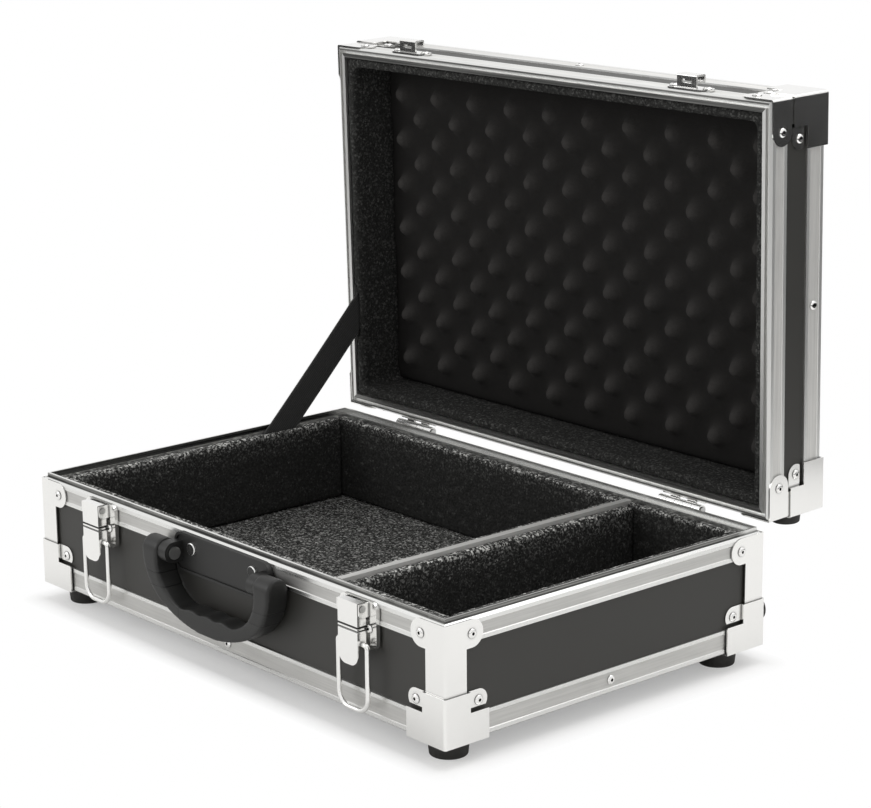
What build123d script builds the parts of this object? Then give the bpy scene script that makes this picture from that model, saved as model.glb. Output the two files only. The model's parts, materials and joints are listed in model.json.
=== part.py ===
"""A carrying case for sound equipment: a panelled base and lid in aluminium profiles,
sheet corner caps, two draw latches, a moulded handle, hinges, a lid strap and foam.

Millimetres, +X to the right, +Y to the hinges, +Z up. The origin is the centre of the
base panel's underside. The lid is drawn shut and then swung open about the hinge line.
"""
import os
from collections import namedtuple
from math import cos, radians, sin, sqrt

from build123d import *

# Case box, over the aluminium profiles
case_width = 498.0
case_depth = 318.0
base_height = 88.8
lid_height = 58.8
panel_thickness = 6.0
lid_open_angle = 88.7
closed_rim_gap = 0.2
sliding_clearance = 0.3
pin_clearance = 0.05

# Aluminium profiles
profile_wall = 1.4
face_recess = 0.5
rib_width = 3.0
rim_face_height = 17.5
rim_bevel = 2.0
rim_inner_flange = 12.0
tongue_inset = 3.0
tongue_width = 1.6
tongue_height = 3.2
groove_outer_room = 0.2
groove_inner_room = 0.9
groove_end_room = 0.6
edging_leg = 19.0
edging_bevel = 1.0

# Corner covers, with a round riveted ear on each leg at the rim
cover_sheet = 1.0
cover_leg = 19.0
cover_rim_setback = 0.7
cover_end_to_outside = 18.0
cover_edge_radius = 1.6
ear_radius = 10.3
ear_from_corner = 24.0

# Three-way box corners, with a sunk round tab on each upright face
box_sheet = 1.2
box_leg = 38.5
box_height = 37.0
box_edge_radius = 2.0
tab_radius = 8.0
tab_rivet_from_corner = 30.8
tab_slot_width = 2.4
tab_slot_below_rivet = 4.5
tab_fold_from_corner = 21.5

# Pop rivets
rivet_head_radius = 3.6
rivet_head_height = 1.5
rivet_rim_height = 0.5
rivet_bore_radius = 1.2
rivet_bore_depth = 1.1
rivet_shank_radius = 2.0
rivet_grip = 4.6

# Rubber feet under the base and on the backs of base and lid
foot_top_radius = 15.4
foot_tip_radius = 13.8
foot_height = 15.0
foot_inset = 23.0
foot_edge_radius = 1.2
foot_screw_head_radius = 4.0
foot_under_screw = 5.0
foot_screw_recess_radius = 4.8
foot_screw_head_height = 2.4
foot_screw_radius = 2.0
foot_screw_length = 12.0
back_foot_height = 8.5
back_foot_top_radius = 11.8
back_foot_tip_radius = 10.8
back_foot_from_side = 14.5
back_foot_from_outside = 23.8

# Foam lining
foam_gap = 0.3
floor_foam = 8.0
wall_foam = 10.0
foam_below_rim = 1.4
lid_wall_foam = 8.0
crate_back = 10.0
crate_bump_height = 12.0
crate_bump_foot_radius = 10.5
crate_bump_top_radius = 4.5
crate_column_pitch = 46.0
crate_row_pitch = 19.5
crate_edge_margin = 14.0

# Divider
divider_from_right = 129.0
divider_board = 4.0
divider_channel_wall = 1.1
divider_channel_height = 13.0
divider_below_rim = 0.5
divider_foam = 11.0
divider_slot_depth = 6.5
divider_foam_below_top = 1.4

# Hinges
hinge_from_side = 90.0
hinge_width = 45.0
hinge_axis_behind = 5.9
hinge_barrel_radius = 4.0
hinge_pin_radius = 1.75
hinge_leaf = 1.4
hinge_leaf_height = 17.0
hinge_leaf_start = 3.0
hinge_web = 2.0
hinge_knuckles = 5
hinge_knuckle_gap = 0.3
hinge_rivet_spread = 13.0
hinge_rivet_drop = 12.5
hinge_pin_head_radius = 2.6
hinge_pin_head = 0.8

# Strap that stops the lid
strap_width = 25.0
strap_thickness = 1.4
strap_anchor_from_hinge = 112.9
strap_anchor_depth = 28.0
strap_end_past_anchor = 12.0
strap_pocket_margin = 4.0
strap_pocket_depth = 3.4
strap_rivet_collar_radius = 5.0
strap_rivet_end_height = 1.2
strap_hole_clearance = 0.3

# Draw latches
latch_from_side = 88.2
plate_width = 40.0
plate_height = 35.0
plate_below_rim = 1.2
plate_sheet = 1.2
plate_rise = 3.4
plate_corner_radius = 5.0
latch_rivet_x = 12.4
latch_rivet_drop = 21.0
latch_rivet_head_radius = 3.2
plate_ear_sheet = 1.2
plate_ear_out = 12.6
plate_ear_height = 10.4
plate_ear_top_drop = 1.8
plate_ear_corner = 3.0
lever_pivot_drop = 5.6
lever_pivot_out = 9.6
lever_pin_radius = 1.5
lever_pin_head_radius = 2.4
lever_pin_head = 0.7
lever_width = 21.6
lever_sheet = 1.0
lever_out = 13.0
lever_top_above_pivot = 4.4
lever_side_depth = 7.8
lever_side_length = 35.0
lever_top_depth = 6.6
lever_back_rise = 2.6
lever_side_slope = 2.0
lever_tip_radius = 8.0
lever_length = 47.0
lever_crease_from_top = 21.0
lever_crease_width = 1.4
lever_crease_depth = 0.5
bail_pivot_drop = 32.0
bail_pivot_out = 8.6
bail_wire_radius = 1.9
bail_width = 32.0
bail_length = 50.3
bail_bend_radius = 11.0
bail_end_bend_radius = 2.6
bail_end_inside = 1.4

# Keepers on the lid, which the bails pull on
keeper_plate_width = 44.0
keeper_plate_height = 14.0
keeper_plate_start = 1.6
keeper_sheet = 1.4
keeper_hook_width = 20.0
keeper_hook_out = 11.5
keeper_wall_from_rim = 4.2
keeper_lip_drop = 6.5
keeper_rivet_x = 17.2
keeper_rivet_from_rim = 8.6
keeper_slot_width = 10.0
keeper_slot_height = 3.0
keeper_bend_less = 0.2

# Handle
handle_width = 158.0
handle_plate_height = 31.0
handle_plate_below_rim = 1.4
handle_plate_thickness = 2.6
handle_plate_rim = 2.2
handle_plate_rim_height = 1.2
handle_plate_corner = 9.0
handle_pivot_drop = 16.5
handle_pivot_out = 11.2
handle_pin_radius = 3.0
handle_pin_head_radius = 5.0
handle_pin_head = 1.8
lug_width = 9.6
lug_radius = 8.2
arm_width = 18.6
arm_top_radius = 9.8
grip_edge_radius = 1.0
grip_depth = 17.0
grip_bottom_drop = 52.6
grip_bottom_from_side = 49.0
grip_bottom_rise = 3.3
grip_turn_from_side = 14.0
grip_turn_drop = 32.0
grip_shoulder_drop = 4.0
grip_middle_height = 16.6
grip_hollow_from_arm = 22.4
grip_inner_lean = 2.4
grip_inner_drop = 18.0
grip_taper_drop = 22.0
grip_fingers = 4
grip_finger_depth = 1.6
handle_pin_length = 26.0
handle_screw_from_end = 21.8
handle_screw_drop = 12.5
handle_screw_head_radius = 5.0
handle_screw_head = 2.0
handle_screw_radius = 2.5
handle_screw_length = 8.0

# Worked out from the sizes above
half_width = case_width / 2
half_depth = case_depth / 2
base_rim_z = base_height - profile_wall
hinge_y = half_depth + hinge_axis_behind
hinge_z = base_rim_z + closed_rim_gap / 2
rim_inner = profile_wall + panel_thickness + profile_wall
lining = rim_inner + foam_gap
tab_rivet_height = box_height - tab_radius
hinge_x = half_width - hinge_from_side
latch_x = half_width - latch_from_side
divider_x = half_width - divider_from_right
lever_half = lever_width / 2
arm_outer_x = handle_width / 2
arm_inner_x = arm_outer_x - arm_width
grip_bottom_x = arm_outer_x - grip_bottom_from_side
grip_turn_x = arm_outer_x - grip_turn_from_side
grip_hollow_x = arm_inner_x - grip_hollow_from_arm
handle_plate_end = arm_inner_x - 2 * sliding_clearance
lug_inner_x = arm_inner_x - sliding_clearance - lug_width
handle_screw_x = handle_plate_end - handle_screw_from_end
latch_rivet_grip = plate_rise + rivet_grip
foot_screw_reach = foot_screw_length - foot_under_screw
box_outward = cover_sheet + box_sheet

Half = namedtuple("Half", "name rim up height seat")
BASE = Half("base", base_rim_z, -1, base_height, profile_wall)
LID = Half(
    "lid",
    base_rim_z + closed_rim_gap,
    1,
    lid_height,
    tongue_height + groove_end_room + profile_wall,
)

Face = namedtuple("Face", "name normal along reach half_length")
FRONT = Face("front", Vector(0, -1, 0), Vector(1, 0, 0), half_depth, half_width)
BACK = Face("back", Vector(0, 1, 0), Vector(1, 0, 0), half_depth, half_width)
LEFT = Face("left", Vector(-1, 0, 0), Vector(0, 1, 0), half_width, half_depth)
RIGHT = Face("right", Vector(1, 0, 0), Vector(0, 1, 0), half_width, half_depth)
FACES = (FRONT, BACK, LEFT, RIGHT)
SIDES = (-1, 1)

# Swings a lid piece from shut to its photographed place
lid_hinge_line = Axis((0, hinge_y, hinge_z), (1, 0, 0))


def level(half, depth):
    """Height of a point that lies a depth from the half's rim face."""
    return half.rim + half.up * depth


def face_plane(face, outward=0.0):
    """Plane on an outer face of the case, with Z upwards in it."""
    x_dir = Vector(0, 0, 1).cross(face.normal)
    return Plane(origin=face.normal * (face.reach + outward), x_dir=x_dir, z_dir=face.normal)


def front_view(x, y, z):
    """Plane seen from the front, with X to the right and Z upwards in it."""
    return Plane(origin=(x, y, z), x_dir=(1, 0, 0), z_dir=(0, -1, 0))


def section_plane(face):
    """Plane across a face's profile: X goes inwards from the face and Y is up."""
    inwards = face.normal * -1
    return Plane(
        origin=face.normal * face.reach,
        x_dir=inwards,
        z_dir=inwards.cross(Vector(0, 0, 1)),
    )


def seat(face, along, height, outward):
    """Plane on a face where a fastener's head sits."""
    origin = face.normal * (face.reach + outward) + face.along * along
    return Plane(origin=origin + Vector(0, 0, height), z_dir=face.normal)


def joined(*pieces):
    """Several separate solids as one piece."""
    with BuildPart() as group:
        for piece in pieces:
            add(piece)
    return group.part


def save(piece, name, half=BASE):
    """Label a piece, swing it open with the lid if it is the lid's, and write it."""
    if half is LID:
        piece = piece.rotate(lid_hinge_line, -lid_open_angle)
    piece.label = name
    export_step(piece, f"parts/{name}.step")


# Fasteners
def ear_height(half):
    return level(half, cover_rim_setback + ear_radius)


def ear_seats(half, face):
    places = [side * (face.half_length - ear_from_corner) for side in SIDES]
    return [seat(face, at, ear_height(half), cover_sheet) for at in places]


def outside_of_box(half):
    """Depth of the box corner's outermost sheet from the rim."""
    return half.height + box_sheet


def tab_seats(half, face):
    height = level(half, outside_of_box(half) - tab_rivet_height)
    places = [side * (face.half_length - tab_rivet_from_corner) for side in SIDES]
    return [seat(face, at, height, box_sheet - profile_wall) for at in places]


def middle_seats(half, face):
    rise = (edging_leg + edging_bevel) / 2
    return [seat(face, 0, level(half, half.height - rise), -face_recess)]


def hinge_seats(half, face):
    if face is not BACK:
        return []
    height = level(half, hinge_rivet_drop)
    places = [x + side * hinge_rivet_spread for x in (-hinge_x, hinge_x) for side in SIDES]
    return [seat(BACK, x, height, hinge_leaf) for x in places]


strap_anchor_y = hinge_y - strap_anchor_from_hinge


def strap_seats(half, face):
    if face is not LEFT:
        return []
    return [seat(LEFT, strap_anchor_y, level(half, strap_anchor_depth), -profile_wall)]


def case_rivets(half, face):
    """Where the rivets of a half's own joints sit on one face."""
    seats = ear_seats(half, face) + tab_seats(half, face) + middle_seats(half, face)
    return seats + hinge_seats(half, face)


def drill(seats, radius=rivet_shank_radius, depth=rivet_grip):
    """Cut clearance holes inwards from the seats."""
    for place in seats:
        with Locations(place):
            Cylinder(
                radius + pin_clearance,
                depth + sliding_clearance,
                align=(Align.CENTER, Align.CENTER, Align.MAX),
                mode=Mode.SUBTRACT,
            )


def rivet(head_radius=rivet_head_radius, shank=rivet_grip):
    """A domed rivet with a hollow middle, its seat at the origin and its head upwards."""
    with BuildPart() as body:
        with BuildSketch(Plane.XZ):
            with BuildLine():
                Polyline(
                    (rivet_bore_radius, rivet_head_height - rivet_bore_depth),
                    (0, rivet_head_height - rivet_bore_depth),
                    (0, -shank),
                    (rivet_shank_radius, -shank),
                    (rivet_shank_radius, 0),
                    (head_radius, 0),
                    (head_radius, rivet_rim_height),
                )
                ThreePointArc(
                    (head_radius, rivet_rim_height),
                    (
                        (head_radius + rivet_bore_radius + rivet_rim_height) / 2,
                        rivet_head_height - rivet_rim_height / 3,
                    ),
                    (rivet_bore_radius, rivet_head_height),
                )
                Line(
                    (rivet_bore_radius, rivet_head_height),
                    (rivet_bore_radius, rivet_head_height - rivet_bore_depth),
                )
            make_face()
        revolve(axis=Axis.Z)
    return body.part


def rivets(seats, head_radius=rivet_head_radius, shank=rivet_grip):
    """One separate rivet at each seat."""
    shape = rivet(head_radius, shank)
    with BuildPart() as group:
        with Locations(*seats):
            add(shape)
    return group.part


# Panels
def side_panel(half, face):
    reach = face.half_length - profile_wall
    if face in (LEFT, RIGHT):
        reach -= panel_thickness
    near = level(half, half.seat)
    far = level(half, half.height - profile_wall - panel_thickness)
    with BuildPart() as panel:
        with BuildSketch(face_plane(face, -profile_wall)):
            with Locations((0, (near + far) / 2)):
                Rectangle(2 * reach, abs(far - near))
        extrude(amount=-panel_thickness)
        drill(case_rivets(half, face))
        drill(strap_seats(half, face), depth=panel_thickness)
        if half is BASE and face is FRONT:
            drill(latch_seats(), depth=latch_rivet_grip)
            drill(handle_screw_seats(), handle_screw_radius, handle_screw_length)
        if half is LID and face is FRONT:
            drill(keeper_seats())
        if face is BACK:
            drill(back_foot_seats(half), foot_screw_radius, foot_screw_reach)
    return panel.part


def outer_panel(half):
    """The panel that closes a half: the base's floor or the lid's top."""
    outside = level(half, half.height - profile_wall)
    with BuildPart() as panel:
        with BuildSketch(Plane.XY.offset(outside)):
            Rectangle(case_width - 2 * profile_wall, case_depth - 2 * profile_wall)
        extrude(amount=-half.up * panel_thickness)
        if half is BASE:
            drill(floor_foot_seats(), foot_screw_radius, foot_screw_reach)
    return panel.part


# Aluminium profiles
def ribbed_face(height, bevel):
    """Outer face of a profile, from its lower edge to its bevel: depth in, height up."""
    return [
        (0, height),
        (0, height - rib_width),
        (face_recess, height - rib_width - face_recess),
        (face_recess, bevel + rib_width + face_recess),
        (0, bevel + rib_width),
        (0, bevel),
        (bevel, 0),
    ]


def rim_profile(half):
    """Rim section: the base carries a tongue and the lid a groove that takes it."""
    if half is BASE:
        start = tongue_inset
        end = tongue_inset + tongue_width
        reach = -tongue_height
    else:
        start = tongue_inset - groove_outer_room
        end = tongue_inset + tongue_width + groove_inner_room
        reach = tongue_height + groove_end_room
    return ribbed_face(rim_face_height, rim_bevel) + [
        (start, 0),
        (start, reach),
        (end, reach),
        (end, 0),
        (rim_inner, 0),
        (rim_inner, rim_inner_flange),
        (rim_inner - profile_wall, rim_inner_flange),
        (rim_inner - profile_wall, half.seat),
        (profile_wall, half.seat),
        (profile_wall, rim_face_height),
    ]


def edging_profile():
    """Angle section over the outer edge, its depth counted from the outermost face."""
    return ribbed_face(edging_leg, edging_bevel) + [
        (edging_leg, 0),
        (edging_leg, profile_wall),
        (profile_wall, profile_wall),
        (profile_wall, edging_leg),
    ]


def mitred_bar(face, points, holes):
    """A length of profile along a face, mitred at both corners."""
    with BuildPart() as bar:
        with BuildSketch(section_plane(face)):
            with BuildLine():
                Polyline(*points, close=True)
            make_face()
        extrude(amount=face.half_length, both=True)
        for side in SIDES:
            end = face.along * side
            corner = face.normal * face.reach + end * face.half_length
            split(bisect_by=Plane(origin=corner, z_dir=end - face.normal), keep=Keep.BOTTOM)
        for seats, radius, depth in holes:
            drill(seats, radius, depth)
    return bar.part


def rim_bar(half, face):
    points = [(n, level(half, depth)) for n, depth in rim_profile(half)]
    holes = [(case_rivets(half, face), rivet_shank_radius, rivet_grip)]
    if half is BASE and face is FRONT:
        holes.append((handle_screw_seats(), handle_screw_radius, handle_screw_length))
    if half is LID and face is FRONT:
        holes.append((keeper_seats(), rivet_shank_radius, rivet_grip))
    return mitred_bar(face, points, holes)


def edging_bars(half, faces):
    """The pair of outer edge angles on two opposite faces."""
    points = [(n, level(half, half.height - rise)) for n, rise in edging_profile()]
    bars = [
        mitred_bar(
            face,
            points,
            [(middle_seats(half, face), rivet_shank_radius, rivet_grip)],
        )
        for face in faces
    ]
    return joined(*bars)


# Corner hardware, drawn at the front right corner and mirrored to the other three
def mirror_to_four_corners():
    mirror(about=Plane.YZ)
    mirror(about=Plane.XZ)


def corner_post(leg, sheet, outward, near, far):
    """Upright L of sheet round the front right corner between two heights."""
    corner = (half_width + outward + sheet, -half_depth - outward - sheet, min(near, far))
    reach = leg + outward + sheet
    for width, depth in ((reach, sheet), (sheet, reach)):
        with Locations(corner):
            Box(width, depth, abs(far - near), align=(Align.MAX, Align.MIN, Align.MIN))


def round_upright_edge(block, outward, radius):
    """Round the upright edge that stands furthest out at the front right corner."""
    reach = half_width + half_depth + 2 * outward
    upright = block.edges().filter_by(Axis.Z)
    fillet([edge for edge in upright if edge.center().X - edge.center().Y > reach - radius], radius)


def corner_faces():
    """The two faces at the front right corner, with the corner's place and way inwards."""
    return ((FRONT, half_width, -1), (RIGHT, -half_depth, 1))


def corner_covers(half):
    """Upright covers with a round ear on each leg at the rim, at all four corners."""
    near = level(half, cover_rim_setback)
    far = level(half, half.height - cover_end_to_outside)
    ear_z = ear_height(half)
    with BuildPart() as covers:
        corner_post(cover_leg, cover_sheet, 0, near, far)
        for face, corner, inwards in corner_faces():
            centre = corner + inwards * ear_from_corner
            with BuildSketch(face_plane(face)):
                with Locations((centre, ear_z)):
                    Circle(ear_radius)
                with Locations(((centre + corner) / 2, ear_z)):
                    Rectangle(ear_from_corner, 2 * ear_radius)
            extrude(amount=cover_sheet)
        round_upright_edge(covers, cover_sheet, cover_edge_radius)
        mirror_to_four_corners()
        for face in FACES:
            drill(ear_seats(half, face))
        drill(back_foot_seats(half), foot_screw_radius, foot_screw_reach)
    return covers.part


def box_corners(half):
    """Three-way corners whose upright faces end in a sunk round tab, at all four corners."""
    outside = outside_of_box(half)
    slot_low = tab_rivet_height - tab_slot_below_rivet - tab_slot_width
    slot_high = tab_rivet_height - tab_slot_below_rivet
    end = level(half, outside)
    rivet_z = level(half, outside - tab_rivet_height)
    slot_z = level(half, outside - slot_high)
    top_z = level(half, outside - box_height)
    with BuildPart() as boxes:
        corner_post(box_leg, box_sheet, cover_sheet, end, level(half, outside - slot_low))
        corner_post(
            tab_fold_from_corner, box_sheet, cover_sheet, level(half, outside - slot_low), top_z
        )
        plate_side = box_leg + box_outward
        with BuildSketch(Plane.XY.offset(min(end, level(half, half.height)))):
            with Locations((half_width + box_outward, -half_depth - box_outward)):
                Rectangle(plate_side, plate_side, align=(Align.MAX, Align.MIN))
        extrude(amount=box_sheet)
        for face, corner, inwards in corner_faces():
            fold = corner + inwards * (tab_fold_from_corner - box_sheet / 2)
            rivet_at = corner + inwards * tab_rivet_from_corner
            with BuildSketch(face_plane(face, box_outward)):
                with Locations((fold, (slot_z + top_z) / 2)):
                    Rectangle(box_sheet, abs(top_z - slot_z))
            extrude(amount=-(box_outward + profile_wall))
            with BuildSketch(face_plane(face, box_sheet - profile_wall)):
                with Locations((rivet_at, rivet_z)):
                    Circle(tab_radius)
                with Locations(((rivet_at + fold) / 2, rivet_z)):
                    Rectangle(abs(rivet_at - fold), 2 * tab_radius)
                with Locations((rivet_at, slot_z - half.up * -tab_radius)):
                    Rectangle(2 * box_leg, 2 * tab_radius, mode=Mode.SUBTRACT)
            extrude(amount=-box_sheet)
        round_upright_edge(boxes, box_outward, box_edge_radius)
        mirror_to_four_corners()
        for face in FACES:
            drill(tab_seats(half, face))
        drill(back_foot_seats(half), foot_screw_radius, foot_screw_reach)
        if half is BASE:
            drill(floor_foot_seats(), foot_screw_radius, foot_screw_reach)
    return boxes.part


# Feet
def floor_foot_seats():
    places = [
        Vector(x * (half_width - foot_inset), y * (half_depth - foot_inset), 0)
        for x in SIDES
        for y in SIDES
    ]
    drop = Vector(0, 0, level(BASE, outside_of_box(BASE)))
    return [Plane(origin=place + drop, z_dir=(0, 0, -1)) for place in places]


def back_foot_seats(half):
    height = level(half, outside_of_box(half) - back_foot_from_outside)
    reach = half_width - back_foot_from_side
    return [seat(BACK, side * reach, height, box_outward) for side in SIDES]


def feet(seats, height, base_radius, tip_radius):
    """Round tapered feet with a sunk screw hole."""
    with BuildPart() as one:
        Cone(
            base_radius,
            tip_radius,
            height,
            align=(Align.CENTER, Align.CENTER, Align.MIN),
        )
        fillet(one.edges().group_by(Axis.Z)[-1], foot_edge_radius)
        Cylinder(foot_screw_radius + pin_clearance, 2 * height, mode=Mode.SUBTRACT)
        with Locations((0, 0, height)):
            Cylinder(
                foot_screw_recess_radius,
                height - foot_under_screw,
                align=(Align.CENTER, Align.CENTER, Align.MAX),
                mode=Mode.SUBTRACT,
            )
    with BuildPart() as group:
        with Locations(*seats):
            add(one.part)
    return group.part


def screws(seats, radius, length, head_radius, head_height, raised=0.0):
    """Pan-head screws, their heads raised from the seats by what they clamp."""
    with BuildPart() as one:
        with Locations((0, 0, raised)):
            Cylinder(radius, length, align=(Align.CENTER, Align.CENTER, Align.MAX))
            Cylinder(head_radius, head_height, align=(Align.CENTER, Align.CENTER, Align.MIN))
        fillet(one.edges().group_by(Axis.Z)[-1], head_height / 2)
    with BuildPart() as group:
        with Locations(*seats):
            add(one.part)
    return group.part


def foot_screws(seats):
    return screws(
        seats,
        foot_screw_radius,
        foot_screw_length,
        foot_screw_head_radius,
        foot_screw_head_height,
        foot_under_screw,
    )


# Strap that stops the lid, and its shouldered rivets
def strap_rivets(half):
    """Rivets through the left panel, with a collar and an inner end that hold the strap."""
    collar_start = panel_thickness
    collar_end = lining - profile_wall - strap_hole_clearance
    inner_start = collar_end + strap_thickness + 2 * strap_hole_clearance
    inner_end = inner_start + strap_rivet_end_height
    plain_rivet = rivet(rivet_head_radius, inner_end)
    with BuildPart() as one:
        add(plain_rivet)
        for start, end in ((collar_start, collar_end), (inner_start, inner_end)):
            with Locations((0, 0, -start)):
                Cylinder(
                    strap_rivet_collar_radius,
                    end - start,
                    align=(Align.CENTER, Align.CENTER, Align.MAX),
                )
    with BuildPart() as group:
        with Locations(*strap_seats(half, LEFT)):
            add(one.part)
    return group.part


def open_lid_point(y, z):
    """Where a point of the shut lid stands when the lid is open."""
    swing = radians(-lid_open_angle)
    across = y - hinge_y
    above = z - hinge_z
    return Vector(
        0,
        hinge_y + across * cos(swing) - above * sin(swing),
        hinge_z + across * sin(swing) + above * cos(swing),
    )


base_anchor = Vector(0, strap_anchor_y, level(BASE, strap_anchor_depth))
lid_anchor = open_lid_point(strap_anchor_y, level(LID, strap_anchor_depth))
strap_run = lid_anchor - base_anchor
strap_line = strap_run.normalized()


def strap():
    """The taut strap between its anchors, with the lid open."""
    middle = (base_anchor + lid_anchor) / 2 + Vector(-half_width + lining, 0, 0)
    flat = Plane(origin=middle, x_dir=strap_line, z_dir=(1, 0, 0))
    length = strap_run.length
    with BuildPart() as band:
        with BuildSketch(flat):
            Rectangle(length + 2 * strap_end_past_anchor, strap_width)
            with GridLocations(length, 0, 2, 1):
                Circle(rivet_shank_radius + strap_hole_clearance, mode=Mode.SUBTRACT)
        extrude(amount=strap_thickness)
    return band.part


def cut_strap_pocket(half):
    """Cut the left lining where the strap lies, from its anchor out over the rim."""
    anchor = Vector(-half_width + lining, strap_anchor_y, level(half, strap_anchor_depth))
    along = Vector(0, strap_line.Y, -half.up * strap_line.Z)
    flat = Plane(origin=anchor, x_dir=along, z_dir=(1, 0, 0))
    past = strap_end_past_anchor + strap_pocket_margin
    with Locations(flat):
        with Locations((-past, 0, 0)):
            Box(
                past + 2 * strap_anchor_depth,
                strap_width + 2 * strap_pocket_margin,
                strap_pocket_depth,
                align=(Align.MIN, Align.CENTER, Align.MIN),
                mode=Mode.SUBTRACT,
            )


# Foam lining
floor_foam_bottom = panel_thickness + foam_gap
floor_foam_top = floor_foam_bottom + floor_foam
wall_foam_bottom = floor_foam_top + foam_gap
wall_foam_top = level(BASE, foam_below_rim)
wall_inner = lining + wall_foam
divider_slot = wall_inner - divider_slot_depth
channel_half = divider_board / 2 + divider_channel_wall


def slab(width, depth, low, high, x=0.0, y=0.0):
    """An upright block between two heights."""
    with Locations((x, y, low)):
        Box(width, depth, high - low, align=(Align.CENTER, Align.CENTER, Align.MIN))


def floor_lining():
    with BuildPart() as foam:
        slab(
            2 * (half_width - lining),
            2 * (half_depth - lining),
            floor_foam_bottom,
            floor_foam_top,
        )
    return foam.part


def wall_lining(face):
    """A foam wall of the base; front and back are slotted for the divider."""
    middle = face.reach - lining - wall_foam / 2
    with BuildPart() as foam:
        if face in (FRONT, BACK):
            slab(
                2 * (half_width - lining),
                wall_foam,
                wall_foam_bottom,
                wall_foam_top,
                y=face.normal.Y * middle,
            )
            with BuildSketch(Plane.XY.offset(wall_foam_bottom)):
                with Locations((divider_x, face.normal.Y * (half_depth - wall_inner))):
                    Rectangle(
                        2 * (channel_half + foam_gap),
                        2 * divider_slot_depth,
                    )
            extrude(amount=wall_foam_top - wall_foam_bottom, mode=Mode.SUBTRACT)
        else:
            slab(
                wall_foam,
                2 * (half_depth - wall_inner - foam_gap),
                wall_foam_bottom,
                wall_foam_top,
                x=face.normal.X * middle,
            )
        if face is LEFT:
            cut_strap_pocket(BASE)
    return foam.part


def lid_border():
    """The foam ring round the lid's inside."""
    outer_x = 2 * (half_width - lining)
    outer_y = 2 * (half_depth - lining)
    low = level(LID, foam_below_rim)
    high = level(LID, lid_height - profile_wall - panel_thickness - foam_gap)
    with BuildPart() as foam:
        slab(outer_x, outer_y, low, high)
        with BuildSketch(Plane.XY.offset(low)):
            Rectangle(outer_x - 2 * lid_wall_foam, outer_y - 2 * lid_wall_foam)
        extrude(amount=high - low, mode=Mode.SUBTRACT)
        cut_strap_pocket(LID)
    return foam.part


def eggcrate():
    """The lid's foam slab with staggered bumps facing into the case."""
    margin = lining + lid_wall_foam + foam_gap
    width = 2 * (half_width - margin)
    depth = 2 * (half_depth - margin)
    top = level(LID, lid_height - profile_wall - panel_thickness - foam_gap)
    columns = int((width - 2 * crate_edge_margin) // crate_column_pitch) + 1
    rows = int((depth - 2 * crate_edge_margin) // (2 * crate_row_pitch)) + 1
    with BuildPart() as foam:
        slab(width, depth, top - crate_back, top)
        under = Plane(origin=(0, 0, top - crate_back), z_dir=(0, 0, -1))
        for less, grid_rows in ((0, rows), (1, rows - 1)):
            with Locations(under):
                with GridLocations(
                    crate_column_pitch,
                    2 * crate_row_pitch,
                    columns - less,
                    grid_rows,
                ):
                    Cone(
                        crate_bump_foot_radius,
                        crate_bump_top_radius,
                        crate_bump_height,
                        align=(Align.CENTER, Align.CENTER, Align.MIN),
                    )
    return foam.part


# Divider
divider_half_length = half_depth - divider_slot - foam_gap
divider_top = level(BASE, divider_below_rim)
channel_low = divider_top - divider_channel_height


def divider():
    with BuildPart() as board:
        slab(
            divider_board,
            2 * divider_half_length,
            wall_foam_bottom,
            divider_top - divider_channel_wall,
            x=divider_x,
        )
    return board.part


def divider_cap():
    """The aluminium channel over the divider's top edge."""
    with BuildPart() as channel:
        slab(2 * channel_half, 2 * divider_half_length, channel_low, divider_top, x=divider_x)
        with BuildSketch(Plane.XY.offset(channel_low)):
            with Locations((divider_x, 0)):
                Rectangle(divider_board, 2 * divider_half_length)
        extrude(
            amount=divider_channel_height - divider_channel_wall,
            mode=Mode.SUBTRACT,
        )
    return channel.part


def divider_lining():
    """Foam on both faces of the divider, let in around its channel."""
    offset = divider_board / 2 + foam_gap + divider_foam / 2
    length = 2 * (half_depth - wall_inner - foam_gap)
    top = divider_top - divider_foam_below_top
    recess_low = channel_low - foam_gap
    with BuildPart() as foam:
        for side in SIDES:
            slab(divider_foam, length, wall_foam_bottom, top, x=divider_x + side * offset)
        with BuildSketch(Plane.XY.offset(recess_low)):
            with Locations((divider_x, 0)):
                Rectangle(2 * (channel_half + foam_gap), length)
        extrude(amount=top - recess_low, mode=Mode.SUBTRACT)
    return foam.part


# Hinges
knuckle_pitch = hinge_width / hinge_knuckles
knuckle_length = knuckle_pitch - hinge_knuckle_gap


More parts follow.
